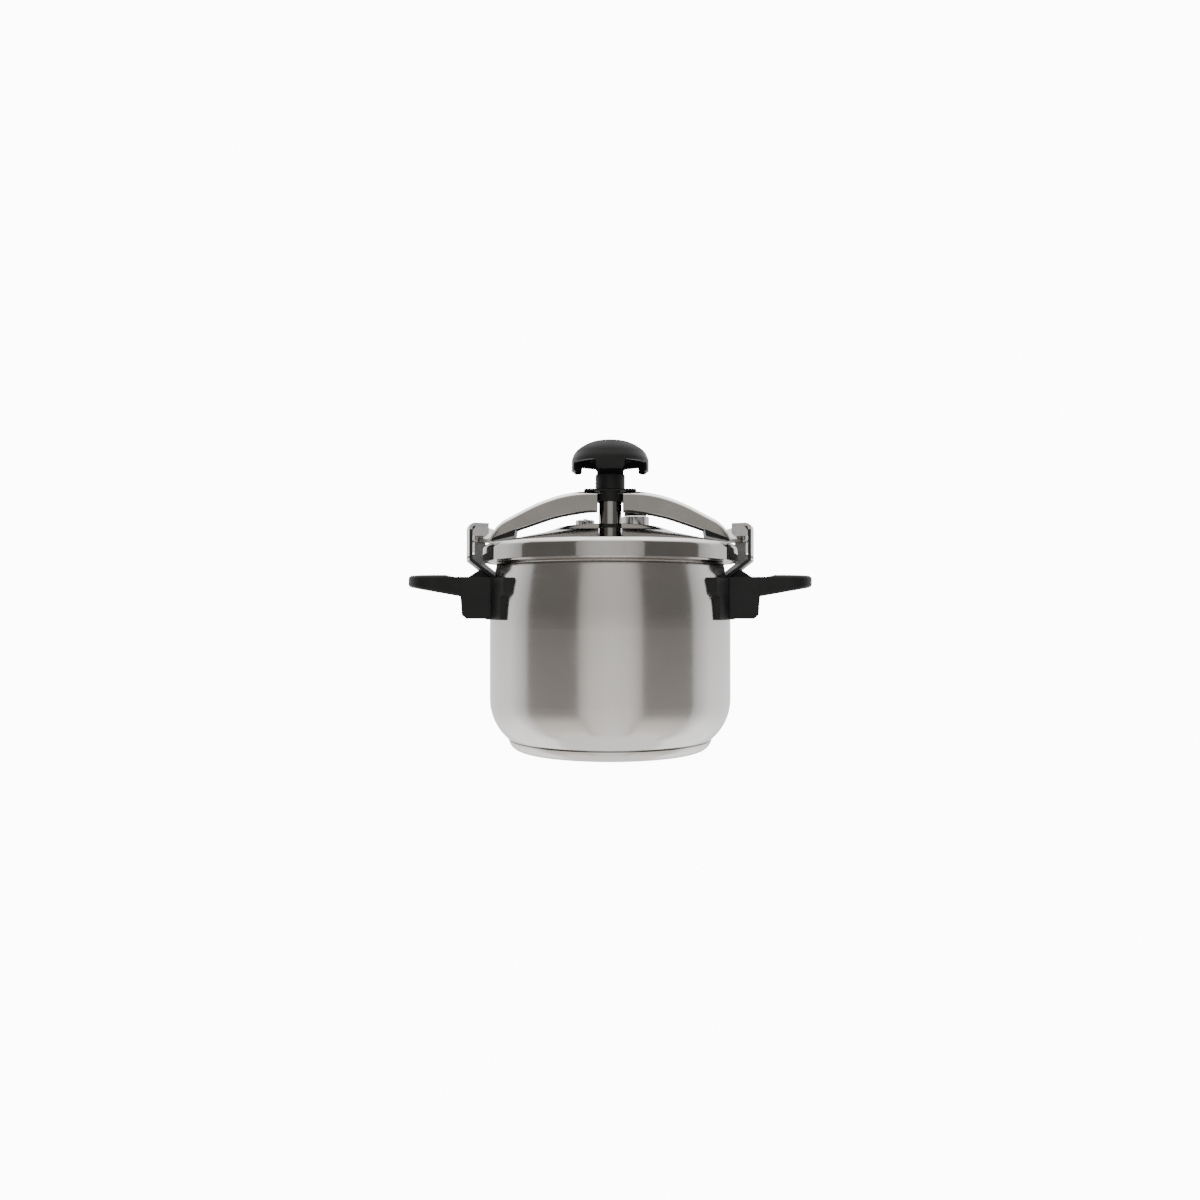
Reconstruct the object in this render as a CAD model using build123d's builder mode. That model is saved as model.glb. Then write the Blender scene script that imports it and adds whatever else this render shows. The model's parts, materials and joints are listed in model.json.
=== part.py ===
"""Stovetop pressure cooker with a swing yoke, a screw-down knob and two side handles."""
import math
import os

from build123d import *

os.makedirs("parts", exist_ok=True)

# ---- driving dimensions, mm; z = 0 is the floor, +X runs along the handles ----
pot_r = 111.0
wall_t = 1.2
corner_r = 47.0
taper_z = 112.0
taper_arc_r = 280.0
pot_floor_z = 8.0
neck_z = 171.6
rim_z = 175.0
cap_flat_r = 82.2
cap_edge_r = 11.84
cap_top_z = 10.0

lid_r = 117.7
lid_t = 1.5
lid_skirt_z = 171.9
lid_shoulder_z = 186.7
plateau_z = 204.8
plateau_r = 43.0

bracket_r = 132.0
bracket_t = 2.8
bracket_half_deg = 19.8
window_half_deg = 7.9
head_in_r = 114.5
head_top_z = 205.5
head_low_z = 193.9

yoke_half_w = 12.0
yoke_t = 2.6
yoke_top_z = 237.6
lug_top_z = 193.6
lug_tip_x = 123.5

post_r = 10.5
post_bore_r = 8.0
post_top_z = 229.4
spindle_r = 6.0
foot_z = 208.8
foot_top_z = 213.0
collar_r = 13.7
collar_top_z = 254.7

knob_r = 35.9
knob_low_z = 255.3
knob_top_z = 284.9
neck_r = 9.3

valve_x = 24.5
valve_y = 45.0
seal_t = 1.5
valve_base_z = plateau_z + seal_t

handle_tip_x = 182.7
block_x = 130.7
screw_z = 131.0


def wall_r(z):
    """Outer radius of the tapered upper wall at height z."""
    return pot_r - taper_arc_r + math.sqrt(taper_arc_r**2 - (z - taper_z) ** 2)


def save(piece, name):
    """Label a finished piece and write its STEP file."""
    piece.part.label = name
    export_step(piece.part, f"parts/{name}.step")


def mirrored(piece):
    """The same piece on the other side of the YZ plane."""
    with BuildPart() as other:
        add(mirror(piece.part, about=Plane.YZ, mode=Mode.PRIVATE))
    return other


def round_corner(sketch, point, radius):
    """Round the sketch's corner nearest to a point, inside its own builder."""
    fillet(sketch.vertices().sort_by_distance(point)[0], radius)


# ---- pot body: drawn shell with a tapered shoulder and a turned-out rim ----
def pot_side(inset, floor_z):
    """Half section of the pot, inset from its outer face, closed on the axis."""
    low_r = 64.0 + math.sqrt((corner_r - inset) ** 2 - (47.0 - floor_z) ** 2)
    mid = math.radians(-28)
    mid_pt = (64.0 + (corner_r - inset) * math.cos(mid), 47.0 + (corner_r - inset) * math.sin(mid))
    top_z = rim_z + 1.0
    with BuildSketch(Plane.XZ) as half:
        with BuildLine():
            Line((0, floor_z), (low_r, floor_z))
            ThreePointArc((low_r, floor_z), mid_pt, (pot_r - inset, 47.0))
            Line((pot_r - inset, 47.0), (pot_r - inset, taper_z))
            ThreePointArc(
                (pot_r - inset, taper_z),
                (wall_r(145.0) - inset, 145.0),
                (wall_r(neck_z) - inset, neck_z),
            )
            Line((wall_r(neck_z) - inset, neck_z), (wall_r(neck_z) - inset + 0.4, top_z))
            Line((wall_r(neck_z) - inset + 0.4, top_z), (0, top_z))
            Line((0, top_z), (0, floor_z))
        make_face()
    return half.sketch


with BuildPart() as pot_body:
    revolve(pot_side(0, pot_floor_z), axis=Axis.Z)
    revolve(pot_side(wall_t, pot_floor_z + wall_t), axis=Axis.Z, mode=Mode.SUBTRACT)
    with BuildSketch(Plane.XZ):
        with Locations((108.6, rim_z - wall_t / 2)):
            Rectangle(8.6, wall_t)
        with Locations((112.9, rim_z - 1.3)):
            Circle(1.3)
    revolve(axis=Axis.Z)
    with Locations((0, 0, rim_z)):
        Cylinder(130, 10, align=(Align.CENTER, Align.CENTER, Align.MIN), mode=Mode.SUBTRACT)
save(pot_body, "pot_body")

# ---- encapsulated base: aluminium heat disc under a pressed steel cap ----
with BuildPart() as base_disc:
    with Locations((0, 0, 0.9)):
        Cylinder(85.5, pot_floor_z - 0.95, align=(Align.CENTER, Align.CENTER, Align.MIN))
    fillet(base_disc.edges().group_by(Axis.Z)[0], 3.0)
save(base_disc, "base_disc")

with BuildPart() as base_cap:
    with BuildSketch(Plane.XZ):
        for grow, mode in ((0.0, Mode.ADD), (-0.8, Mode.SUBTRACT)):
            r = cap_edge_r + grow
            top_r = cap_flat_r + math.sqrt(r**2 - (cap_edge_r - cap_top_z) ** 2)
            mid_r = cap_flat_r + r * math.sin(math.radians(40))
            mid_z = cap_edge_r - r * math.cos(math.radians(40))
            with BuildLine():
                Line((0, -grow), (cap_flat_r, -grow))
                ThreePointArc((cap_flat_r, -grow), (mid_r, mid_z), (top_r, cap_top_z))
                Line((top_r, cap_top_z), (0, cap_top_z))
                Line((0, cap_top_z), (0, -grow))
            make_face(mode=mode)
    revolve(axis=Axis.Z)
    chamfer(base_cap.edges().group_by(Axis.Z)[-1].sort_by(SortBy.LENGTH)[-1], 0.5)
save(base_cap, "base_cap")


# ---- lid: drawn dome with a flat centre, valve bosses and a deep skirt ----
def lid_half(inset, low_z):
    """Half section of the lid, inset from its outer face and filled to the axis."""
    r = lid_r - inset
    knee_z = lid_shoulder_z - inset
    with BuildSketch(Plane.XZ) as half:
        with BuildLine():
            Polyline((0, low_z), (r, low_z), (r, knee_z), (62.0, 199.0 - inset),
                     (plateau_r + 3.0, plateau_z - inset), (0, plateau_z - inset), (0, low_z))
        make_face()
        round_corner(half, (r, knee_z), 5.2 - inset)
        round_corner(half, (62.0, 199.0 - inset), 60.0)
        round_corner(half, (plateau_r + 3.0, plateau_z - inset), 16.0)
    return half.sketch


with BuildPart() as lid:
    revolve(lid_half(0, lid_skirt_z), axis=Axis.Z)
    with Locations((valve_x, valve_y, 190), (-valve_x, valve_y, 190)):
        Cylinder(14.2, plateau_z - 190, align=(Align.CENTER, Align.CENTER, Align.MIN))
    revolve(lid_half(lid_t, lid_skirt_z - 5), axis=Axis.Z, mode=Mode.SUBTRACT)
    with Locations((valve_x, valve_y, 180), (-valve_x, valve_y, 180)):
        Cylinder(12.7, plateau_z - lid_t - 180, align=(Align.CENTER, Align.CENTER, Align.MIN),
                 mode=Mode.SUBTRACT)
    with Locations((valve_x, valve_y, 200), (-valve_x, valve_y, 200)):
        Cylinder(5.0, 20, mode=Mode.SUBTRACT)
    with Locations((0, 0, 200)):
        Cylinder(6.05, 20, mode=Mode.SUBTRACT)
save(lid, "lid")

with BuildPart() as lid_gasket:
    with BuildSketch(Plane.XZ):
        with BuildLine():
            Polyline((104.5, rim_z + 0.1), (115.8, rim_z + 0.1), (115.8, 181.4), (112.5, 184.2),
                     (110.0, 181.4), (106.0, 179.4), (104.5, rim_z + 0.1))
        make_face()
    revolve(axis=Axis.Z)
save(lid_gasket, "lid_gasket")

# ---- lid post: guide tube, riveted through the lid, with its nut and seal ----
with BuildPart() as post:
    with Locations((0, 0, plateau_z)):
        Cylinder(post_r, post_top_z - plateau_z, align=(Align.CENTER, Align.CENTER, Align.MIN))
    with Locations((0, 0, 196.0)):
        Cylinder(6.0, plateau_z - 196.0, align=(Align.CENTER, Align.CENTER, Align.MIN))
    chamfer(post.edges().group_by(Axis.Z)[-1], 0.6)
    with Locations((0, 0, foot_z)):
        Cylinder(post_bore_r, 40, align=(Align.CENTER, Align.CENTER, Align.MIN), mode=Mode.SUBTRACT)
save(post, "post")

with BuildPart() as post_nut:
    with BuildSketch(Plane.XY.offset(196.5)):
        RegularPolygon(10.5, 6)
        Circle(6.05, mode=Mode.SUBTRACT)
    extrude(amount=5.2)
    chamfer(post_nut.edges().group_by(Axis.Z)[0], 0.4)
save(post_nut, "post_nut")

with BuildPart() as post_seal:
    with Locations((0, 0, 201.75)):
        Cylinder(9.5, 1.5, align=(Align.CENTER, Align.CENTER, Align.MIN))
        Cylinder(6.05, 1.5, align=(Align.CENTER, Align.CENTER, Align.MIN), mode=Mode.SUBTRACT)
save(post_seal, "post_seal")

with BuildPart() as thrust_foot:
    with Locations((0, 0, foot_z)):
        Cylinder(post_bore_r - 0.05, foot_top_z - foot_z, align=(Align.CENTER, Align.CENTER, Align.MIN))
    chamfer(thrust_foot.edges().group_by(Axis.Z)[-1], 0.5)
save(thrust_foot, "thrust_foot")

# ---- brackets: curved plates with a window, a folded head and a welded tab ----
tab_r = wall_r(156.0) + 0.05


def bracket_section():
    """Section of the bent plate in the XZ plane, on the +X side."""
    with BuildSketch(Plane.XZ) as sec:
        with BuildLine():
            Line((head_in_r, head_top_z), (bracket_r - 5.0, head_top_z))
            RadiusArc((bracket_r - 5.0, head_top_z), (bracket_r, head_top_z - 5.0), 5.0)
            Line((bracket_r, head_top_z - 5.0), (bracket_r, 172.3))
            Line((bracket_r, 172.3), (tab_r + bracket_t + 0.6, 156.0))
            ThreePointArc(
                (tab_r + bracket_t + 0.6, 156.0),
                (wall_r(141.0) + bracket_t + 0.15, 141.0),
                (wall_r(126.0) + bracket_t + 0.05, 126.0),
            )
            Line((wall_r(126.0) + bracket_t + 0.05, 126.0), (wall_r(126.0) + 0.05, 126.0))
            ThreePointArc((wall_r(126.0) + 0.05, 126.0), (wall_r(141.0) + 0.05, 141.0), (tab_r, 156.0))
            Line((tab_r, 156.0), (tab_r + 1.2, 158.2))
            Line((tab_r + 1.2, 158.2), (bracket_r - bracket_t, 173.4))
            Line((bracket_r - bracket_t, 173.4), (bracket_r - bracket_t, head_top_z - 5.0))
            RadiusArc((bracket_r - bracket_t, head_top_z - 5.0),
                      (bracket_r - 5.0, head_top_z - bracket_t), bracket_t - 5.0)
            Line((bracket_r - 5.0, head_top_z - bracket_t), (head_in_r, head_top_z - bracket_t))
            Line((head_in_r, head_top_z - bracket_t), (head_in_r, head_top_z))
        make_face()
    return sec.sketch


def centred_arc(section, half_deg):
    """Revolve an XZ section about Z through an arc centred on the +X axis."""
    with BuildPart() as swept:
        revolve(section, axis=Axis.Z, revolution_arc=2 * half_deg)
    return swept.part.rotate(Axis.Z, -half_deg)


with BuildPart() as bracket_right:
    add(centred_arc(bracket_section(), bracket_half_deg))
    window_w = 2 * bracket_r * math.sin(math.radians(window_half_deg))
    with BuildSketch(Plane.YZ.offset(122)):
        with Locations((0, 187.0)):
            RectangleRounded(window_w, 13.0, 3.0)
    extrude(amount=20, mode=Mode.SUBTRACT)
    with Locations((112, 0, screw_z)):
        Cylinder(3.1, 30, rotation=(0, 90, 0), mode=Mode.SUBTRACT)
save(bracket_right, "bracket_right")
save(mirrored(bracket_right), "bracket_left")

bar_out_r = bracket_r - bracket_t - 0.1
bar_top_z = head_top_z - bracket_t - 0.1
with BuildSketch(Plane.XZ) as bar_section:
    with BuildLine():
        Polyline((head_in_r + 2.4, head_low_z), (bar_out_r, head_low_z), (bar_out_r, 198.6),
                 (bar_out_r - 3.0, bar_top_z), (head_in_r, bar_top_z), (head_in_r, head_low_z + 2.4),
                 (head_in_r + 2.4, head_low_z))
    make_face()
with BuildPart() as bearing_bar_right:
    add(centred_arc(bar_section.sketch, bracket_half_deg))
save(bearing_bar_right, "bearing_bar_right")
save(mirrored(bearing_bar_right), "bearing_bar_left")

# ---- handle bosses, screws and washers ----
boss_in = wall_r(screw_z) + bracket_t + 0.4
boss_out = boss_in + 7.0
with BuildPart() as handle_bosses:
    for side in (1, -1):
        with Locations(Location((side * (boss_in + 3.5), 0, screw_z), (0, 90, 0))):
            Cylinder(6.0, 7.0)
            Cylinder(3.0, 8.0, mode=Mode.SUBTRACT)
save(handle_bosses, "handle_bosses")

head_seat_x = 125.2
with BuildPart() as handle_screws:
    for side in (1, -1):
        turn = 90 if side == 1 else -90
        with Locations(Location((side * (boss_in + 0.6), 0, screw_z), (0, turn, 0))):
            Cylinder(2.98, head_seat_x + 1.2 - boss_in - 0.5,
                     align=(Align.CENTER, Align.CENTER, Align.MIN))
        with Locations(Location((side * (head_seat_x + 1.2), 0, screw_z), (0, turn, 0))):
            Cylinder(5.2, 3.2, align=(Align.CENTER, Align.CENTER, Align.MIN))
    screw_ends = handle_screws.faces().sort_by(Axis.X)
    for face in (screw_ends[0], screw_ends[-1]):
        with BuildSketch(Plane(face)):
            Rectangle(8.2, 1.3)
            Rectangle(1.3, 8.2)
        extrude(amount=-1.6, mode=Mode.SUBTRACT)
save(handle_screws, "handle_screws")

with BuildPart() as handle_washers:
    for side in (1, -1):
        with Locations(Location((side * (head_seat_x + 0.6), 0, screw_z), (0, 90, 0))):
            Cylinder(6.2, 1.16)
            Cylinder(3.1, 3.0, mode=Mode.SUBTRACT)
save(handle_washers, "handle_washers")

# ---- handles: moulded block, grip and a thin flange that hugs the wall ----
with BuildSketch(Plane.XZ) as slot_section:
    with BuildLine():
        Polyline((100, 124.8), (wall_r(126.0) + bracket_t + 0.6, 124.8),
                 (wall_r(141.0) + bracket_t + 0.8, 141.0), (tab_r + bracket_t + 1.2, 155.6),
                 (124.0, 166.0), (100, 166.0), (100, 124.8))
    make_face()
with BuildSketch(Plane.XZ) as hump_section:
    with BuildLine():
        Polyline((108, 155), (108, 157), (119.5, 163.4), (122.6, 163.4), (131.4, 157.5), (131.4, 155),
                 (108, 155))
    make_face()
with BuildPart() as handle_right:
    with BuildSketch(Plane.XZ):
        with BuildLine():
            Polyline((96, 156.4), (116, 157.4), (143, 157.6), (146, 159.4), (handle_tip_x, 159.2),
                     (handle_tip_x, 148.9), (132.2, 140.0), (130.7, 123.6), (126.6, 120.3),
                     (96, 120.3), (96, 156.4))
        make_face()
    extrude(amount=46.0, both=True)
    with BuildSketch(Plane.XY.offset(110)):
        with Locations((90, 0)):
            Rectangle(2 * (block_x - 90) + 1.0, 92)
        with Locations((handle_tip_x - 45.0, 0)):
            RectangleRounded(90, 90, 25.0)
    extrude(amount=60, mode=Mode.INTERSECT)
    grip_rims = handle_right.edges().filter_by(
        lambda e: e.center().X > 147 and abs(e.tangent_at(0.5).Z) < 0.5
    )
    fillet(grip_rims, 3.4)
    add(centred_arc(hump_section.sketch, bracket_half_deg - 1.5))
    with BuildSketch(Plane.XY.offset(119.5)):
        Circle(pot_r + 4.0)
        with BuildLine():
            Polyline((0, 0), (200, 190), (200, -190), (0, 0))
        make_face(mode=Mode.INTERSECT)
    extrude(amount=36.5)
    with BuildSketch(Plane.YZ.offset(60)):
        for side in (1, -1):
            with BuildLine():
                Polyline((side * 65, 110), (side * 65, 139), (side * 69.8, 143), (side * 69.8, 160),
                         (side * 95, 160), (side * 95, 110), (side * 65, 110))
            make_face()
    extrude(amount=80, mode=Mode.SUBTRACT)
    with BuildSketch(Plane.XZ):
        with BuildLine():
            Line((0, 112), (pot_r + 0.05, 112))
            ThreePointArc((pot_r + 0.05, 112), (wall_r(141.0) + 0.05, 141.0), (wall_r(170.0) + 0.05, 170))
            Line((wall_r(170.0) + 0.05, 170), (0, 170))
            Line((0, 170), (0, 112))
        make_face()
    revolve(axis=Axis.Z, mode=Mode.SUBTRACT)
    with BuildSketch(Plane.XY.offset(115)):
        with Locations((102.5, 46.0), (102.5, -46.0)):
            Rectangle(1.4, 3.0)
    extrude(amount=50, mode=Mode.SUBTRACT)
    add(centred_arc(slot_section.sketch, bracket_half_deg + 0.5), mode=Mode.SUBTRACT)
    with Locations(Location((100, 0, screw_z), (0, 90, 0))):
        Cylinder(6.05, boss_out + 0.1 - 100, align=(Align.CENTER, Align.CENTER, Align.MIN),
                 mode=Mode.SUBTRACT)
        Cylinder(3.2, 60, align=(Align.CENTER, Align.CENTER, Align.MIN), mode=Mode.SUBTRACT)
    with Locations(Location((head_seat_x, 0, screw_z), (0, 90, 0))):
        Cylinder(6.6, 20, align=(Align.CENTER, Align.CENTER, Align.MIN), mode=Mode.SUBTRACT)
save(handle_right, "handle_right")
save(mirrored(handle_right), "handle_left")


# ---- yoke: pressed channel, notched at the centre, with a lug welded to each end ----
lug_low_z = lug_top_z - 2.7
yoke_knees = [(36.0, yoke_top_z), (66.0, 228.0), (102.5, 208.6)]
knee_radii = [110.0, 150.0, 33.0]


def yoke_outline():
    """Side outline of one half of the yoke, from the centre to the foot of its web."""
    with BuildSketch(Plane.XZ.offset(-yoke_half_w)) as side:
        with BuildLine():
            Polyline((0, yoke_top_z), *yoke_knees, (112.8, lug_top_z), (110.4, lug_low_z),
                     (107.6, 194.5), (86.0, 202.6), (50.0, 215.0), (20.0, 220.0), (0, 220.0),
                     (0, yoke_top_z))
        make_face()
        for knee, radius in zip(yoke_knees, knee_radii):
            round_corner(side, knee, radius)
        round_corner(side, (50.0, 215.0), 150.0)
        round_corner(side, (20.0, 220.0), 90.0)
    return side.sketch


def yoke_line(x):
    """Height of the line midway between the yoke's upper and lower outlines at x."""
    return 229.5 - 0.365 * max(x - 20.0, 0.0)


def yoke_hollow(drop, shrink):
    """Outline of the channel's hollow, below the web."""
    knees = [(x - shrink, z - drop) for x, z in yoke_knees]
    with BuildSketch(Plane.XZ.offset(2.4 - yoke_half_w)) as side:
        with BuildLine():
            Polyline((0, yoke_top_z - drop), *knees, (107.6, 195.4), (107.6, 180), (0, 180),
                     (0, yoke_top_z - drop))
        make_face()
        for knee, radius in zip(knees, knee_radii):
            round_corner(side, knee, radius - drop)
    return side.sketch


with BuildPart() as yoke_half:
    extrude(yoke_outline(), amount=2 * yoke_half_w)
    rims = yoke_half.edges().filter_by(lambda e: abs(abs(e.center().Y) - yoke_half_w) < 0.01)
    fillet(rims.filter_by(lambda e: 1 < e.center().X < 111 and e.center().Z > yoke_line(e.center().X)), 4.2)
    extrude(yoke_hollow(yoke_t, 0.9), amount=2 * (yoke_half_w - 2.4), mode=Mode.SUBTRACT)
neck_half_w = 9.8
with BuildPart() as web_neck:
    with Locations((0, 0, yoke_top_z - yoke_t)):
        Box(29.0, 2 * neck_half_w, yoke_t, align=(Align.CENTER, Align.CENTER, Align.MIN))
        Cylinder(8.3, yoke_t, align=(Align.CENTER, Align.CENTER, Align.MIN), mode=Mode.SUBTRACT)
with BuildPart() as yoke:
    add(yoke_half.part)
    mirror(about=Plane.YZ)
    with Locations((0, 0, 235.0)):
        Box(23.8, 40, 40, align=(Align.CENTER, Align.CENTER, Align.MAX), mode=Mode.SUBTRACT)
        Cylinder(14.2, 7.0, align=(Align.CENTER, Align.CENTER, Align.MAX), mode=Mode.SUBTRACT)
    Cylinder(8.3, 600, mode=Mode.SUBTRACT)
    with Locations((0, 0, 230)):
        Cylinder(collar_r + 0.25, 20, align=(Align.CENTER, Align.CENTER, Align.MIN),
                 mode=Mode.SUBTRACT)
    add(web_neck.part)
save(yoke, "yoke")

with BuildPart() as yoke_lugs:
    with BuildSketch(Plane.XZ):
        with BuildLine():
            Polyline((110.42, lug_low_z), (112.82, lug_top_z), (lug_tip_x, lug_top_z),
                     (lug_tip_x, lug_low_z), (110.42, lug_low_z))
        make_face()
    extrude(amount=8.5, both=True)
    fillet(yoke_lugs.edges().filter_by(Axis.Z).filter_by(lambda e: e.center().X > 120), 3.0)
    mirror(about=Plane.YZ)
save(yoke_lugs, "yoke_lugs")

with BuildPart() as shoe_right:
    with BuildSketch(Plane.XZ):
        with BuildLine():
            Polyline((86.9, 202.0), (87.9, 196.4), (109.6, 191.6), (107.0, 194.4), (86.9, 202.0))
        make_face()
    extrude(amount=11.6, both=True)
save(shoe_right, "shoe_right")
save(mirrored(shoe_right), "shoe_left")

with BuildPart() as yoke_nut:
    with Locations((0, 0, 232.6)):
        Cylinder(12.0, 2.35, align=(Align.CENTER, Align.CENTER, Align.MIN))
        Cylinder(8.2, 19.4, align=(Align.CENTER, Align.CENTER, Align.MIN))
        Cylinder(spindle_r + 0.06, 30, align=(Align.CENTER, Align.CENTER, Align.MIN), mode=Mode.SUBTRACT)
save(yoke_nut, "yoke_nut")

with BuildPart() as yoke_ring:
    with Locations((0, 0, 228.4)):
        Cylinder(collar_r, yoke_top_z - 228.4, align=(Align.CENTER, Align.CENTER, Align.MIN))
        Cylinder(12.1, yoke_top_z - yoke_t - 228.4, align=(Align.CENTER, Align.CENTER, Align.MIN),
                 mode=Mode.SUBTRACT)
    chamfer(yoke_ring.edges().group_by(Axis.Z)[0].sort_by(SortBy.LENGTH)[-1], 0.4)
    with Locations((0, 0, yoke_top_z - yoke_t - 0.05)):
        Box(30.0, 2 * neck_half_w + 0.1, 10, align=(Align.CENTER, Align.CENTER, Align.MIN),
            mode=Mode.SUBTRACT)
save(yoke_ring, "yoke_ring")

with BuildPart() as yoke_plate:
    with BuildSketch(Plane.XY.offset(yoke_top_z + 0.02)):
        RectangleRounded(48.3, 26.0, 4.0)
        Circle(8.3, mode=Mode.SUBTRACT)
    extrude(amount=1.9)
    chamfer(yoke_plate.edges().group_by(Axis.Z)[-1], 0.3)
save(yoke_plate, "yoke_plate")

with BuildPart() as yoke_collar:
    with Locations((0, 0, yoke_top_z + 1.95)):
        Cylinder(collar_r, collar_top_z - yoke_top_z - 1.95, align=(Align.CENTER, Align.CENTER, Align.MIN))
    chamfer(yoke_collar.edges().group_by(Axis.Z)[-1], 1.6)
    fillet(yoke_collar.edges().group_by(Axis.Z)[0], 0.5)
    with Locations((0, 0, yoke_top_z)):
        Cylinder(8.25, 14.6, align=(Align.CENTER, Align.CENTER, Align.MIN), mode=Mode.SUBTRACT)
        Cylinder(6.4, 40, align=(Align.CENTER, Align.CENTER, Align.MIN), mode=Mode.SUBTRACT)
save(yoke_collar, "yoke_collar")

# ---- spindle, knob and its hidden screw ----
spigot_z = 262.0
with BuildPart() as spindle:
    with Locations((0, 0, foot_top_z)):
        Cylinder(spindle_r, spigot_z - foot_top_z, align=(Align.CENTER, Align.CENTER, Align.MIN))
    chamfer(spindle.edges().group_by(Axis.Z)[0], 0.6)
    with BuildSketch(Plane.XY.offset(spigot_z)):
        Rectangle(8, 8)
    extrude(amount=12.0)
    with Locations((0, 0, spigot_z + 12.0)):
        Cylinder(2.5, 11.0, align=(Align.CENTER, Align.CENTER, Align.MAX), mode=Mode.SUBTRACT)
save(spindle, "spindle")

ceiling_z = 263.8
with BuildPart() as scallop:
    with BuildSketch(Plane.YZ.offset(20)):
        with BuildLine():
            Polyline((-15.0, 250), (-14.6, 262.0), (-13.0, ceiling_z - 0.1), (13.0, ceiling_z - 0.1),
                     (14.6, 262.0), (15.0, 250), (-15.0, 250))
        make_face()
    extrude(amount=25)
with BuildPart() as knob:
    with BuildSketch(Plane.XZ):
        with BuildLine():
            Line((0, knob_top_z - 0.5), (10.6, knob_top_z - 0.5))
            Line((10.6, knob_top_z - 0.5), (11.2, knob_top_z))
            Spline((11.2, knob_top_z), (16.8, 283.8), (22.4, 281.6), (28.4, 278.0), (32.9, 273.6),
                   (35.5, 268.0), (knob_r, 263.5), tangents=((1, -0.12), (0, -1)))
            Line((knob_r, 263.5), (knob_r, 257.3))
            Line((knob_r, 257.3), (33.6, knob_low_z))
            Line((33.6, knob_low_z), (28.0, knob_low_z))
            Line((28.0, knob_low_z), (27.0, 256.4))
            Line((27.0, 256.4), (26.5, ceiling_z))
            Line((26.5, ceiling_z), (13.0, 268.0))
            Line((13.0, 268.0), (neck_r, 266.8))
            Line((neck_r, 266.8), (neck_r, collar_top_z + 0.3))
            Line((neck_r, collar_top_z + 0.3), (0, collar_top_z + 0.3))
            Line((0, collar_top_z + 0.3), (0, knob_top_z - 0.5))
        make_face()
    revolve(axis=Axis.Z)
    for turn in (45, 135, 225, 315):
        add(scallop.part.rotate(Axis.Z, turn), mode=Mode.SUBTRACT)
    with Locations((0, 0, 250)):
        Cylinder(spindle_r + 0.02, spigot_z - 250 + 0.02, align=(Align.CENTER, Align.CENTER, Align.MIN),
                 mode=Mode.SUBTRACT)
    with BuildSketch(Plane.XY.offset(spigot_z)):
        Rectangle(8.06, 8.06)
    extrude(amount=12.05, mode=Mode.SUBTRACT)
    with Locations((0, 0, 270)):
        Cylinder(2.7, 30, align=(Align.CENTER, Align.CENTER, Align.MIN), mode=Mode.SUBTRACT)
    with Locations((0, 0, 277.5)):
        Cylinder(5.4, 30, align=(Align.CENTER, Align.CENTER, Align.MIN), mode=Mode.SUBTRACT)
    with Locations((0, 0, 282.5)):
        Cylinder(9.9, 30, align=(Align.CENTER, Align.CENTER, Align.MIN), mode=Mode.SUBTRACT)
save(knob, "knob")

with BuildPart() as knob_screw:
    with Locations((0, 0, 264.5)):
        Cylinder(2.48, 14.0, align=(Align.CENTER, Align.CENTER, Align.MIN))
    with Locations((0, 0, 277.52)):
        Cylinder(4.6, 3.4, align=(Align.CENTER, Align.CENTER, Align.MIN))
    with BuildSketch(Plane.XY.offset(279.2)):
        RegularPolygon(2.6, 6)
    extrude(amount=3, mode=Mode.SUBTRACT)
save(knob_screw, "knob_screw")

with BuildPart() as knob_cap:
    with Locations((0, 0, 282.52)):
        Cylinder(9.85, knob_top_z - 282.52, align=(Align.CENTER, Align.CENTER, Align.MIN))
    fillet(knob_cap.edges().group_by(Axis.Z)[-1], 0.8)
save(knob_cap, "knob_cap")


# ---- regulator valve: seat cup, nut, seal, lifting weight and its cap ----
def at_valve(side, z):
    """Location on a valve's axis at height z."""
    return Locations((side * valve_x, valve_y, z))


def seal_and_nut(side):
    """The seal above the lid and the hex nut below it, shared by both valves."""
    with BuildPart() as seal:
        with at_valve(side, plateau_z):
            Cylinder(10.5, seal_t - 0.02, align=(Align.CENTER, Align.CENTER, Align.MIN))
            Cylinder(4.95, 5, align=(Align.CENTER, Align.CENTER, Align.MIN), mode=Mode.SUBTRACT)
    with BuildPart() as nut:
        with BuildSketch(Plane.XY.offset(198.0)):
            with Locations((side * valve_x, valve_y)):
                RegularPolygon(8.8, 6)
                Circle(4.95, mode=Mode.SUBTRACT)
        extrude(amount=5.2)
        chamfer(nut.edges().group_by(Axis.Z)[0], 0.4)
    return seal, nut


nozzle_top_z = 216.0
with BuildPart() as regulator_seat:
    with at_valve(1, valve_base_z):
        Cylinder(13.5, 219.3 - valve_base_z, align=(Align.CENTER, Align.CENTER, Align.MIN))
    chamfer(regulator_seat.edges().group_by(Axis.Z)[-1], 0.7)
    with at_valve(1, 209.3):
        Cylinder(11.2, 20, align=(Align.CENTER, Align.CENTER, Align.MIN), mode=Mode.SUBTRACT)
        Cylinder(3.5, nozzle_top_z - 209.3, align=(Align.CENTER, Align.CENTER, Align.MIN))
    with at_valve(1, 195.0):
        Cylinder(4.9, valve_base_z - 195.0, align=(Align.CENTER, Align.CENTER, Align.MIN))
    with at_valve(1, 190.0):
        Cylinder(1.4, 40, align=(Align.CENTER, Align.CENTER, Align.MIN), mode=Mode.SUBTRACT)
save(regulator_seat, "regulator_seat")

regulator_seal, regulator_nut = seal_and_nut(1)
save(regulator_seal, "regulator_seal")
save(regulator_nut, "regulator_nut")

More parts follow.
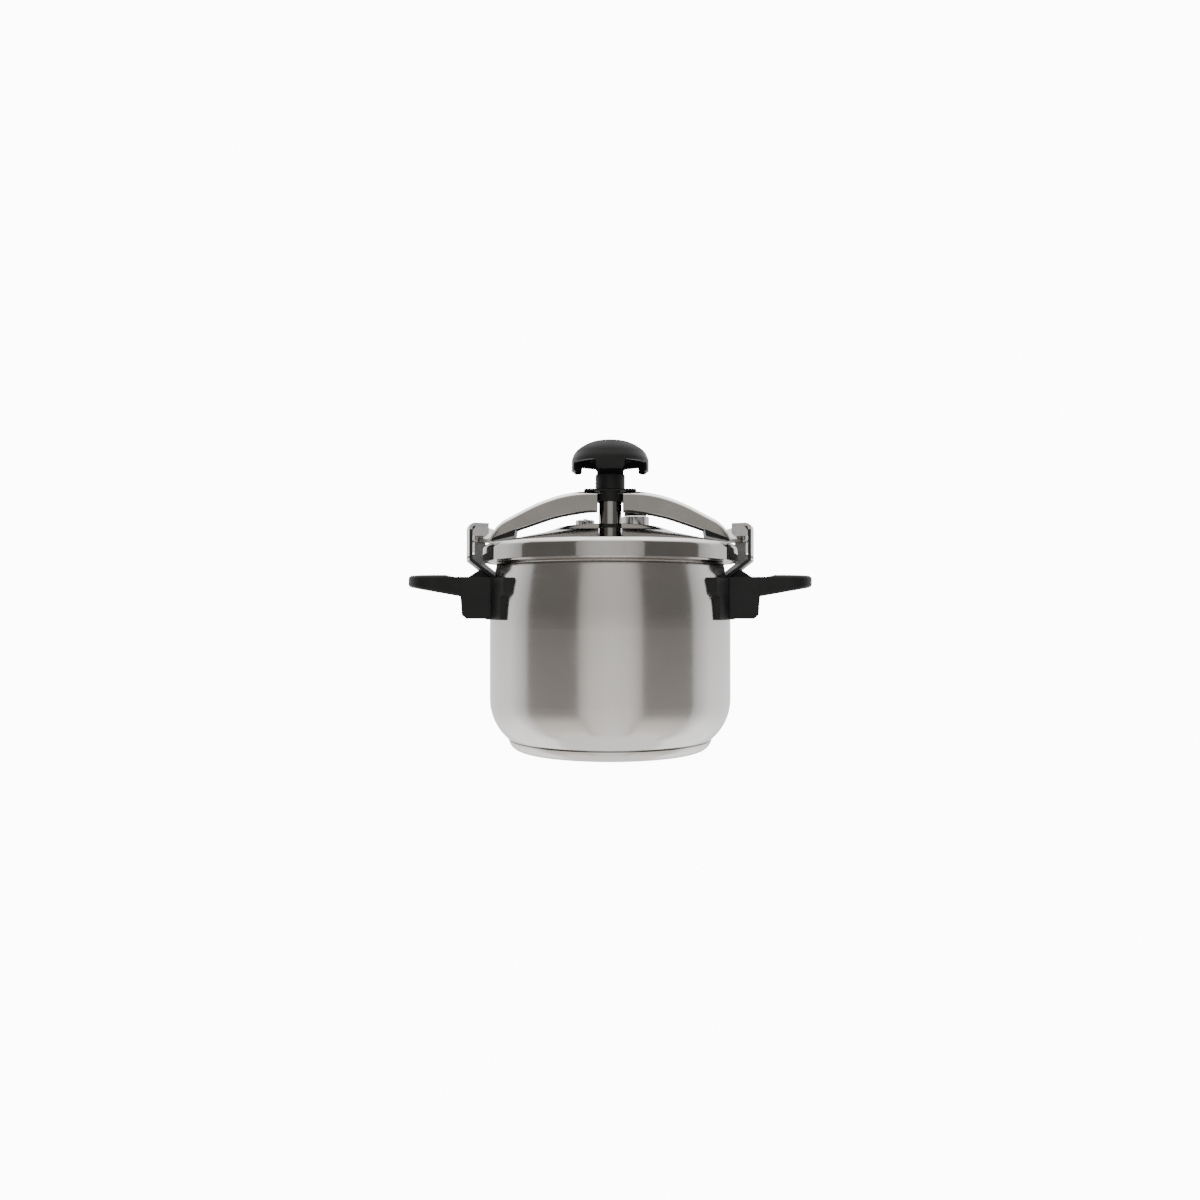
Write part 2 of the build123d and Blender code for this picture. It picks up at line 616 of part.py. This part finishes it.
with BuildPart() as regulator_weight:
    with at_valve(1, 212.6):
        Cylinder(8.6, 20.4, align=(Align.CENTER, Align.CENTER, Align.MIN))
        Cylinder(3.56, nozzle_top_z - 212.6, align=(Align.CENTER, Align.CENTER, Align.MIN),
                 mode=Mode.SUBTRACT)
save(regulator_weight, "regulator_weight")

with BuildPart() as regulator_cap:
    with at_valve(1, 212.4):
        Cylinder(10.7, 25.6, align=(Align.CENTER, Align.CENTER, Align.MIN))
    fillet(regulator_cap.edges().group_by(Axis.Z)[-1], 2.2)
    with at_valve(1, 212.0):
        Cylinder(8.65, 21.1, align=(Align.CENTER, Align.CENTER, Align.MIN), mode=Mode.SUBTRACT)
    with at_valve(1, 222.0):
        with PolarLocations(11.4, 12):
            Cylinder(1.2, 20, align=(Align.CENTER, Align.CENTER, Align.MIN), mode=Mode.SUBTRACT)
save(regulator_cap, "regulator_cap")

# ---- safety valve: hex body, plunger and its return spring ----
safety_top_z = 216.0
with BuildPart() as safety_body:
    with BuildSketch(Plane.XY.offset(valve_base_z)):
        with Locations((-valve_x, valve_y)):
            RegularPolygon(11.6, 6)
    extrude(amount=4.2)
    with at_valve(-1, valve_base_z + 4.2):
        Cylinder(9.4, safety_top_z - valve_base_z - 4.2, align=(Align.CENTER, Align.CENTER, Align.MIN))
    fillet(safety_body.edges().group_by(Axis.Z)[-1], 1.4)
    with at_valve(-1, 195.0):
        Cylinder(4.9, valve_base_z - 195.0, align=(Align.CENTER, Align.CENTER, Align.MIN))
    with at_valve(-1, 190.0):
        Cylinder(1.6, 40, align=(Align.CENTER, Align.CENTER, Align.MIN), mode=Mode.SUBTRACT)
    with at_valve(-1, 207.3):
        Cylinder(7.2, 7.0, align=(Align.CENTER, Align.CENTER, Align.MIN), mode=Mode.SUBTRACT)
    with at_valve(-1, 210.0):
        Cylinder(2.06, 20, align=(Align.CENTER, Align.CENTER, Align.MIN), mode=Mode.SUBTRACT)
    with Locations(Location((-valve_x, valve_y, 212.4), (0, 90, 0)),
                   Location((-valve_x, valve_y, 212.4), (90, 0, 0))):
        Cylinder(1.3, 30, mode=Mode.SUBTRACT)
save(safety_body, "safety_body")

safety_seal, safety_nut = seal_and_nut(-1)
save(safety_seal, "safety_seal")
save(safety_nut, "safety_nut")

with BuildPart() as safety_plunger:
    with at_valve(-1, 207.32):
        Cylinder(6.6, 1.6, align=(Align.CENTER, Align.CENTER, Align.MIN))
        Cylinder(2.0, 10.1, align=(Align.CENTER, Align.CENTER, Align.MIN))
    chamfer(safety_plunger.edges().group_by(Axis.Z)[-1], 0.4)
save(safety_plunger, "safety_plunger")

with BuildPart() as safety_spring:
    with BuildLine():
        coil = Helix(pitch=1.35, height=4.4, radius=4.4, center=(-valve_x, valve_y, 209.45))
    with BuildSketch(Plane(origin=coil @ 0, z_dir=coil % 0)):
        Circle(0.42)
    sweep(path=coil)
save(safety_spring, "safety_spring")
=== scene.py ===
"""Looks for the stovetop pressure cooker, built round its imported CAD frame."""

import json
import math

import bpy
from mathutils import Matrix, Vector


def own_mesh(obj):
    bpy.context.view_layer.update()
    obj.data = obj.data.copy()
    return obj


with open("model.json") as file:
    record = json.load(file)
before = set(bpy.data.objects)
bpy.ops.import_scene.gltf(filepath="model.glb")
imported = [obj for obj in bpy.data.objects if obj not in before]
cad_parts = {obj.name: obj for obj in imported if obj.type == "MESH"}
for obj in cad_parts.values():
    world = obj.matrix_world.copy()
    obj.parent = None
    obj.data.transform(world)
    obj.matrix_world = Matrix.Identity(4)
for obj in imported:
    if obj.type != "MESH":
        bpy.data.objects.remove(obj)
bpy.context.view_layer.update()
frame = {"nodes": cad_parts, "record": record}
NODES = frame["nodes"]

# ---- camera, as fitted to the photograph: level, in front of the pot ----
CAMERA_DISTANCE = 0.871
CAMERA_HEIGHT = 0.1264
FOCAL_MM = 28.11
SENSOR_MM = 36.0
SHIFT_X = -0.0085
SHIFT_Y = 0.0100


# ---- heights and radii of the bracket, in metres, where its material and its painted shade change ----
EDGE_SLOPE = math.tan(math.radians(19.68))  # its arc ends at this slope of y over x
HEAD_LOW_Z = 0.1995  # underside of the folded head
ARM_TOP_Z = 0.176  # the slanted arm meets the upright plate
PLATE_R = 0.12915  # outside this radius is plate, inside it bar or arm
INNER_R = 0.1299  # the plate's inner face is inside this radius
BAR_LOW_Z = 0.1937  # underside of the bearing bar
ARM_SLOPE = 0.763  # rise of the arm over its run
ARM_FOOT_R, ARM_FOOT_Z = 0.1099, 0.1571  # a point half way through the arm's thickness
ARM_OFFSET = ARM_FOOT_Z - ARM_FOOT_R * ARM_SLOPE

# ---- the knob's rim, in metres ----
KNOB_HOLLOW_Z = 0.270
KNOB_HOLLOW_R = 0.0325
KNOB_RIM_R = 0.0345


# ---- small helpers for node materials ----
class Shader:
    """A material with one Principled shader, and short calls to add nodes to it."""

    def __init__(self, name):
        self.material = bpy.data.materials.new(name)
        self.material.use_nodes = True
        self.tree = self.material.node_tree
        self.bsdf = self.tree.nodes["Principled BSDF"]

    def set(self, **values):
        """Set constants on the Principled shader's own sockets."""
        for name, value in values.items():
            self.bsdf.inputs[name.replace("_", " ")].default_value = value
        return self

    def node(self, kind, inputs=None, **props):
        """Add a node; inputs holds values or sockets to link."""
        made = self.tree.nodes.new(kind)
        for name, value in props.items():
            setattr(made, name, value)
        for key, value in (inputs or {}).items():
            if isinstance(value, bpy.types.NodeSocket):
                self.tree.links.new(value, made.inputs[key])
            else:
                made.inputs[key].default_value = value
        return made

    def link(self, socket, name):
        """Feed one of the Principled shader's inputs."""
        self.tree.links.new(socket, self.bsdf.inputs[name])

    def place(self):
        """Object coordinates, in metres."""
        return self.node("ShaderNodeTexCoord").outputs["Object"]

    def noise(self, where, scale, detail=4.0, rough=0.5):
        return self.node("ShaderNodeTexNoise", {"Vector": where, "Scale": scale, "Detail": detail,
                                                "Roughness": rough}).outputs["Fac"]

    def spread(self, value, low, high, start=0.0, end=1.0):
        """Map value from start..end to low..high."""
        return self.node("ShaderNodeMapRange", {"Value": value, "From Min": start, "From Max": end,
                                                "To Min": low, "To Max": high}).outputs["Result"]

    def math(self, operation, a, b=0.0):
        return self.node("ShaderNodeMath", {0: a, 1: b}, operation=operation).outputs[0]

    def ramp(self, value, dark, light):
        """Colour between dark and light by value."""
        mix = self.node("ShaderNodeMix", {"Factor": value}, data_type="RGBA")
        mix.inputs[6].default_value = (*dark, 1)
        mix.inputs[7].default_value = (*light, 1)
        return mix.outputs[2]

    def stretch(self, where, scale):
        """Coordinates scaled by axis, for brushing."""
        return self.node("ShaderNodeMapping", {"Vector": where, "Scale": scale}).outputs["Vector"]

    def bump(self, height, strength, distance):
        made = self.node("ShaderNodeBump", {"Height": height, "Strength": strength,
                                            "Distance": distance})
        self.link(made.outputs["Normal"], "Normal")
        return made


def polar(shader):
    """Coordinates (angle, height, radius) about the vertical axis, for turned metal."""
    xyz = shader.node("ShaderNodeSeparateXYZ", {0: shader.place()})
    angle = shader.math("ARCTAN2", xyz.outputs[1], xyz.outputs[0])
    flat = shader.node("ShaderNodeCombineXYZ", {0: xyz.outputs[0], 1: xyz.outputs[1], 2: 0.0})
    radius = shader.node("ShaderNodeVectorMath", {0: flat.outputs[0]}, operation="LENGTH")
    return shader.node("ShaderNodeCombineXYZ", {
        0: angle, 1: xyz.outputs[2], 2: radius.outputs["Value"]}).outputs[0]


def turned_steel(name, dark, light, rough, brush=0.25, wear=0.03):
    """Steel polished round the vertical axis: fine rings, faint smudges, rare scratches."""
    s = Shader(name)
    s.set(Metallic=1.0, Anisotropic=0.35)
    where = polar(s)
    rings = s.noise(s.stretch(where, (3.0, 2600.0, 2600.0)), 1.0, 3.0, 0.6)
    cloud = s.noise(s.place(), 9.0, 3.0, 0.55)
    smudge = s.noise(s.place(), 38.0, 5.0, 0.6)
    s.link(s.ramp(s.spread(cloud, 0.0, 1.0, 0.3, 0.7), dark, light), "Base Color")
    soft = s.spread(rings, rough - wear, rough + wear, 0.3, 0.7)
    s.link(s.math("ADD", soft, s.spread(smudge, -0.015, 0.03, 0.35, 0.7)), "Roughness")
    s.bump(rings, brush, 0.00004)
    return s.material


def mirror_steel(name, dark, light, rough):
    """Mirror-polished steel with faint orange peel and wiped haze."""
    s = Shader(name)
    s.set(Metallic=1.0)
    haze = s.noise(s.place(), 26.0, 5.0, 0.6)
    peel = s.noise(s.place(), 160.0, 2.0, 0.5)
    s.link(s.ramp(s.spread(haze, 0.0, 1.0, 0.35, 0.65), dark, light), "Base Color")
    s.link(s.spread(haze, rough * 0.7, rough * 1.5, 0.35, 0.7), "Roughness")
    s.bump(peel, 0.05, 0.0002)
    return s.material


def brushed_steel(name, dark, light, rough, painted_light=None, along=(40.0, 2600.0, 2600.0), brush=0.3):
    """Flat-rolled steel brushed along X; if a lighter colour is given, the faces turned up are painted in it
    as a painted highlight.
    """
    s = Shader(name)
    s.set(Metallic=1.0, Anisotropic=0.3)
    lines = s.noise(s.stretch(s.place(), along), 1.0, 3.0, 0.6)
    cloud = s.noise(s.place(), 30.0, 4.0, 0.55)
    steel = s.ramp(s.spread(cloud, 0.0, 1.0, 0.3, 0.7), dark, light)
    if painted_light is not None:
        # painted highlight: faces turned up are mixed toward the lighter colour
        up = s.node("ShaderNodeSeparateXYZ", {0: s.node("ShaderNodeNewGeometry").outputs["Normal"]})
        mix = s.node("ShaderNodeMix", {"Factor": s.spread(up.outputs[2], 0.0, 1.0, 0.12, 0.40)},
                     data_type="RGBA")
        s.tree.links.new(steel, mix.inputs[6])
        mix.inputs[7].default_value = (*painted_light, 1)
        steel = mix.outputs[2]
    s.link(steel, "Base Color")
    s.link(s.math("ADD", s.spread(lines, rough - 0.04, rough + 0.05, 0.3, 0.7),
                  s.spread(cloud, -0.02, 0.03, 0.3, 0.7)), "Roughness")
    s.bump(lines, brush, 0.00004)
    return s.material


def bracket_steel(name, dark, light, rough):
    """Bright pressed plate, brushed upward; painted shade makes its cut edges near black and its inner face
    dark grey, and both are made dull.
    """
    s = Shader(name)
    place = s.place()
    lines = s.noise(s.stretch(place, (900.0, 900.0, 60.0)), 1.0, 3.0, 0.6)
    cloud = s.noise(place, 30.0, 4.0, 0.55)
    xyz = s.node("ShaderNodeSeparateXYZ", {0: place})
    side = s.math("ABSOLUTE", xyz.outputs[0])
    across = s.math("ABSOLUTE", xyz.outputs[1])
    at_end = s.math("GREATER_THAN", s.math("DIVIDE", across, side), EDGE_SLOPE)
    flat = s.node("ShaderNodeCombineXYZ", {0: xyz.outputs[0], 1: xyz.outputs[1], 2: 0.0})
    radius = s.node("ShaderNodeVectorMath", {0: flat.outputs[0]}, operation="LENGTH")
    in_plate = s.math("GREATER_THAN", radius.outputs["Value"], PLATE_R)
    in_arm = s.math("LESS_THAN", xyz.outputs[2], ARM_TOP_Z)
    below_head = s.math("LESS_THAN", xyz.outputs[2], HEAD_LOW_Z)
    plain_plate = s.math("MULTIPLY", s.math("MAXIMUM", in_plate, in_arm), below_head)
    # painted shade: the cut edges at the ends of the arc, on the plate and arm below the head, are painted
    # near black
    edge = s.math("MULTIPLY", at_end, plain_plate)
    steel = s.ramp(s.spread(cloud, 0.0, 1.0, 0.3, 0.7), dark, light)
    # painted shade on the inner face, in dark grey: the upright plate below the bar, and the upper side of
    # the slanted arm
    upright = s.math("MULTIPLY", s.math("LESS_THAN", radius.outputs["Value"], INNER_R),
                     s.math("GREATER_THAN", xyz.outputs[2], ARM_TOP_Z))
    upright = s.math("MULTIPLY", upright, s.math("LESS_THAN", xyz.outputs[2], BAR_LOW_Z))
    arm_mid_z = s.math("ADD", s.math("MULTIPLY", radius.outputs["Value"], ARM_SLOPE), ARM_OFFSET)
    slanted = s.math("MULTIPLY", s.math("GREATER_THAN", xyz.outputs[2], arm_mid_z), in_arm)
    inside = s.math("MAXIMUM", upright, slanted)
    painted_light = s.node("ShaderNodeMix", {"Factor": inside}, data_type="RGBA")
    s.tree.links.new(steel, painted_light.inputs[6])
    painted_light.inputs[7].default_value = (0.16, 0.155, 0.15, 1)
    both = s.node("ShaderNodeMix", {"Factor": edge}, data_type="RGBA")
    s.tree.links.new(painted_light.outputs[2], both.inputs[6])
    both.inputs[7].default_value = (0.02, 0.02, 0.02, 1)
    s.link(both.outputs[2], "Base Color")
    dull = s.math("MAXIMUM", inside, edge)
    s.link(s.spread(dull, 1.0, 0.15), "Metallic")
    s.link(s.spread(dull, 0.5, 0.1), "Specular IOR Level")
    s.link(s.math("ADD", s.spread(lines, rough - 0.04, rough + 0.05, 0.3, 0.7),
                  s.math("MULTIPLY", dull, 0.25)), "Roughness")
    s.bump(lines, 0.3, 0.00004)
    return s.material


def moulded(name, dark, light, rough, shine=0.2, dull_below=None, grain=900.0, depth=0.00006):
    """Moulded phenolic plastic. A knob is glossiest at its rim, with a painted sheen there; painted shade
    dims its reflections toward its centre and in its hollow below dull_below.
    """
    s = Shader(name)
    s.set(Specular_IOR_Level=shine)
    if dull_below is not None:
        where = s.node("ShaderNodeSeparateXYZ", {0: polar(s)})
        high = s.spread(where.outputs[1], 0.0, 1.0, dull_below - 0.004, dull_below + 0.004)
        outer = s.spread(where.outputs[2], 0.0, 1.0, KNOB_HOLLOW_R, KNOB_RIM_R)
        # painted shade: the knob's reflections are dimmed toward its centre
        painted_light = s.spread(where.outputs[2], 0.12, 1.0, 0.014, 0.034)
        gloss = s.math("MULTIPLY", s.math("MAXIMUM", high, outer), painted_light)
        s.link(s.math("MULTIPLY", gloss, shine), "Specular IOR Level")
        # painted sheen on the rim
        s.link(s.math("MULTIPLY", outer, 0.35), "Sheen Weight")
        s.set(Sheen_Roughness=0.4)
    grit = s.noise(s.place(), grain, 3.0, 0.6)
    cloud = s.noise(s.place(), 35.0, 5.0, 0.6)
    s.link(s.ramp(s.spread(cloud, 0.0, 1.0, 0.3, 0.7), dark, light), "Base Color")
    s.link(s.math("ADD", s.spread(cloud, rough - 0.06, rough + 0.06, 0.3, 0.7),
                  s.spread(grit, -0.05, 0.05, 0.3, 0.7)), "Roughness")
    s.bump(grit, 0.35, depth)
    return s.material


def silicone(name):
    """Grey silicone rubber with a faint dusty skin."""
    s = Shader(name)
    s.set(Specular_IOR_Level=0.35, Sheen_Weight=0.2, Sheen_Roughness=0.5)
    dust = s.noise(s.place(), 220.0, 4.0, 0.6)
    s.link(s.ramp(dust, (0.20, 0.20, 0.20), (0.34, 0.34, 0.33)), "Base Color")
    s.link(s.spread(dust, 0.55, 0.75), "Roughness")
    s.bump(dust, 0.2, 0.00005)
    return s.material


def brass(name):
    """Turned brass with darker tarnish in patches."""
    s = Shader(name)
    s.set(Metallic=1.0)
    tarnish = s.noise(s.place(), 120.0, 5.0, 0.6)
    s.link(s.ramp(tarnish, (0.36, 0.25, 0.10), (0.70, 0.54, 0.27)), "Base Color")
    s.link(s.spread(tarnish, 0.42, 0.22), "Roughness")
    s.bump(tarnish, 0.15, 0.00004)
    return s.material


MATERIALS = {
    "pot_steel": turned_steel("pot_steel", (0.575, 0.555, 0.535), (0.625, 0.61, 0.595), 0.15),
    "lid_steel": mirror_steel("lid_steel", (0.47, 0.457, 0.444), (0.53, 0.52, 0.507), 0.08),
    "chrome_post": mirror_steel("chrome_post", (0.32, 0.315, 0.308), (0.38, 0.375, 0.367), 0.05),
    "heat_disc": turned_steel("heat_disc", (0.55, 0.55, 0.56), (0.68, 0.68, 0.69), 0.38),
    "bracket_steel": bracket_steel("bracket_steel", (0.84, 0.835, 0.83), (0.92, 0.915, 0.91), 0.24),
    # the yoke: dark steel with a painted highlight on its faces turned up
    "yoke_steel": brushed_steel("yoke_steel", (0.28, 0.268, 0.254), (0.34, 0.328, 0.312), 0.25,
                                painted_light=(0.72, 0.71, 0.70)),
    "hardware_steel": brushed_steel("hardware_steel", (0.46, 0.46, 0.46), (0.58, 0.58, 0.58), 0.25),
    "valve_steel": turned_steel("valve_steel", (0.56, 0.55, 0.54), (0.66, 0.65, 0.64), 0.16),
    "spring_steel": brushed_steel("spring_steel", (0.40, 0.40, 0.40), (0.55, 0.55, 0.55), 0.28),
    "valve_brass": brass("valve_brass"),
    "handle_black": moulded("handle_black", (0.005, 0.005, 0.005), (0.009, 0.009, 0.009), 0.42),
    "knob_black": moulded("knob_black", (0.006, 0.006, 0.006), (0.010, 0.010, 0.010), 0.52, shine=0.12,
                          dull_below=KNOB_HOLLOW_Z),
    "bush_black": moulded("bush_black", (0.005, 0.005, 0.005), (0.009, 0.009, 0.009), 0.36),
    "valve_cap_black": moulded("valve_cap_black", (0.005, 0.005, 0.005), (0.009, 0.009, 0.009), 0.42),
    "silicone_seal": silicone("silicone_seal"),
}

slots = {part["node"]: part["material_slot"] for part in frame["record"]["subparts"]}
for node, obj in NODES.items():
    obj.data.materials.clear()
    obj.data.materials.append(MATERIALS[slots[node]])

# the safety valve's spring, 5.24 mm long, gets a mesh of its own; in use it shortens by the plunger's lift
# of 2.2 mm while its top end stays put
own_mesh(NODES["safety_spring"])


# ---- studio: white floor and backdrop, and cards that only the metal sees ----
WHITE = 12.0
FLOOR_GLOW = WHITE - 1.3  # the lights on the floor make up the rest


def plain(name, colour):
    """A matte stage material with a very faint mottle, which also gives off white light."""
    s = Shader(name)
    fleck = s.noise(s.place(), 3.0, 3.0, 0.5)
    s.link(s.ramp(fleck, tuple(0.985 * c for c in colour), colour), "Base Color")
    s.set(Roughness=0.9, Specular_IOR_Level=0.1, Emission_Color=(1, 1, 1, 1), Emission_Strength=FLOOR_GLOW)
    return s.material


def glowing(name, level):
    """A surface that gives off light of one colour, at an even brightness."""
    made = bpy.data.materials.new(name)
    made.use_nodes = True
    tree = made.node_tree
    tree.nodes.clear()
    light = tree.nodes.new("ShaderNodeEmission")
    light.inputs["Color"].default_value = (*level, 1)
    out = tree.nodes.new("ShaderNodeOutputMaterial")
    tree.links.new(light.outputs[0], out.inputs["Surface"])
    return made


def math_node(tree, operation, a, b=0.0):
    """A Math node in a bare node tree; a and b are sockets or numbers."""
    made = tree.nodes.new("ShaderNodeMath")
    made.operation = operation
    for socket, value in zip(made.inputs, (a, b)):
        if isinstance(value, bpy.types.NodeSocket):
            tree.links.new(value, socket)
        else:
            socket.default_value = value
    return made.outputs[0]


def through_stops(tree, value, stops):
    """The level that belongs to value, on straight lines between the stops (value, level)."""
    total = stops[0][1]
    for (start, low), (end, high) in zip(stops, stops[1:]):
        step = tree.nodes.new("ShaderNodeMapRange")
        step.inputs["From Min"].default_value = start
        step.inputs["From Max"].default_value = end
        step.inputs["To Min"].default_value = 0.0
        step.inputs["To Max"].default_value = high - low
        tree.links.new(value, step.inputs["Value"])
        total = math_node(tree, "ADD", total, step.outputs["Result"])
    return total


def graded_glow(name, tint, by_height, by_turn):
    """An emitting surface graded by height in metres and by the turn in degrees from the front."""
    made = glowing(name, tint)
    tree = made.node_tree
    split = tree.nodes.new("ShaderNodeSeparateXYZ")
    tree.links.new(tree.nodes.new("ShaderNodeTexCoord").outputs["Object"], split.inputs[0])
    side = math_node(tree, "ABSOLUTE", split.outputs["X"])
    front = math_node(tree, "MULTIPLY", split.outputs["Y"], -1.0)
    turn = math_node(tree, "ARCTAN2", side, front)
    height_level = through_stops(tree, split.outputs["Z"], by_height)
    turn_level = through_stops(tree, turn, [(math.radians(angle), level) for angle, level in by_turn])
    light = next(node for node in tree.nodes if node.type == "EMISSION")
    tree.links.new(math_node(tree, "MULTIPLY", height_level, turn_level), light.inputs["Strength"])
    return made


def hide_from_light(card):
    """Keep a card out of the picture and the shadows: only glossy surfaces see it."""
    card.visible_camera = False
    card.visible_diffuse = False
    card.visible_shadow = False


def curved_card(name, material, start_deg, end_deg, radius):
    """A vertical card on an arc about the object; 0 degrees is straight behind the camera."""
    steps = 16
    corners = []
    for i in range(steps + 1):
        turn = math.radians(start_deg + (end_deg - start_deg) * i / steps)
        x, y = radius * math.sin(turn), -radius * math.cos(turn)
        corners += [(x, y, WALL_LOW), (x, y, WALL_HIGH)]
    faces = [(2 * i, 2 * i + 2, 2 * i + 3, 2 * i + 1) for i in range(steps)]
    mesh = bpy.data.meshes.new(name)
    mesh.from_pydata(corners, [], faces)
    card = bpy.data.objects.new(name, mesh)
    bpy.context.scene.collection.objects.link(card)
    mesh.materials.append(material)
    hide_from_light(card)


# ---- the wall of cards round the object: a soft box ahead, then a grey flag and a glow on each side ----
FLAG_RADIUS = 2.2
WALL_LOW, WALL_HIGH = -4.0, 2.6
BOX_EDGE = 31.0
FLAG_FROM, FLAG_TO = 28.5, 80.5
GLOW_TO = 150.0
warm_box = graded_glow("warm_box", (1.0, 0.97, 0.94),
                       [(-2.5, 1.45), (-0.45, 1.30), (-0.20, 1.27), (0.05, 1.06), (0.30, 0.84), (1.20, 0.84),
                        (2.0, 2.4)],
                       [(3, 1.0), (17, 0.93), (30, 0.58)])
grey_flag = graded_glow("grey_flag", (1.0, 0.945, 0.89),
                        [(-3.4, 1.60), (-1.35, 1.06), (-0.60, 0.48), (-0.145, 0.38), (0.03, 0.32),
                         (0.18, 0.24), (0.28, 0.185), (1.20, 0.20), (2.0, 2.0)],
                        [(FLAG_FROM, 1.0), (FLAG_TO, 1.0)])
side_glow = graded_glow("side_glow", (1.0, 1.0, 1.0),
                        [(-1.3, 2.1), (-0.5, 1.55), (-0.1, 1.5), (0.28, 1.25), (1.00, 1.3), (1.8, 2.6)],
                        [(80, 0.5), (104, 1.0), (150, 1.0)])
curved_card("soft_box", warm_box, -BOX_EDGE, BOX_EDGE, FLAG_RADIUS + 0.02)
for side in (-1, 1):
    curved_card(f"flag_{side + 1}", grey_flag, side * FLAG_FROM, side * FLAG_TO, FLAG_RADIUS)
    curved_card(f"glow_{side + 1}", side_glow, side * FLAG_TO, side * GLOW_TO, FLAG_RADIUS)

bpy.ops.mesh.primitive_plane_add(size=5.0, location=(0, 0.6, 2.7))
overhead = bpy.context.object
overhead.name = "overhead_card"
overhead.data.materials.append(glowing("overhead_white", (3.0, 3.0, 3.0)))
hide_from_light(overhead)

bpy.ops.mesh.primitive_plane_add(size=40.0, location=(0, 0, 0))
floor = bpy.context.object
floor.name = "floor"
floor.data.materials.append(plain("floor_paper", (0.93, 0.93, 0.93)))
floor.visible_glossy = False
floor.visible_diffuse = False

bpy.ops.mesh.primitive_plane_add(size=24.0, location=(0, 5.9, 3.0), rotation=(math.radians(90), 0, 0))
backdrop = bpy.context.object
backdrop.name = "backdrop"
backdrop.data.materials.append(glowing("backdrop_white", (WHITE, WHITE, WHITE)))
backdrop.visible_glossy = False
backdrop.visible_diffuse = False
backdrop.visible_shadow = False

world = bpy.data.worlds.new("studio")
bpy.context.scene.world = world
world.use_nodes = True
world.node_tree.nodes["Background"].inputs["Color"].default_value = (1, 1, 1, 1)
world.node_tree.nodes["Background"].inputs["Strength"].default_value = 1.5


def soft_light(name, place, aim, size, power):
    """A square area light that points at aim."""
    lamp = bpy.data.lights.new(name, "AREA")
    lamp.size = size
    lamp.energy = power
    obj = bpy.data.objects.new(name, lamp)
    obj.location = place
    obj.rotation_euler = (Vector(aim) - Vector(place)).to_track_quat("-Z", "Y").to_euler()
    bpy.context.scene.collection.objects.link(obj)
    return obj


soft_light("top_light", (0.0, -0.3, 1.9), (0, 0, 0.1), 1.6, 4.0)

camera = bpy.data.objects.new("camera", bpy.data.cameras.new("camera"))
bpy.context.scene.collection.objects.link(camera)
camera.location = (0, -CAMERA_DISTANCE, CAMERA_HEIGHT)
camera.rotation_euler = (math.radians(90), 0, 0)
camera.data.lens = FOCAL_MM
camera.data.sensor_width = SENSOR_MM
camera.data.shift_x = SHIFT_X
camera.data.shift_y = SHIFT_Y
bpy.context.scene.camera = camera
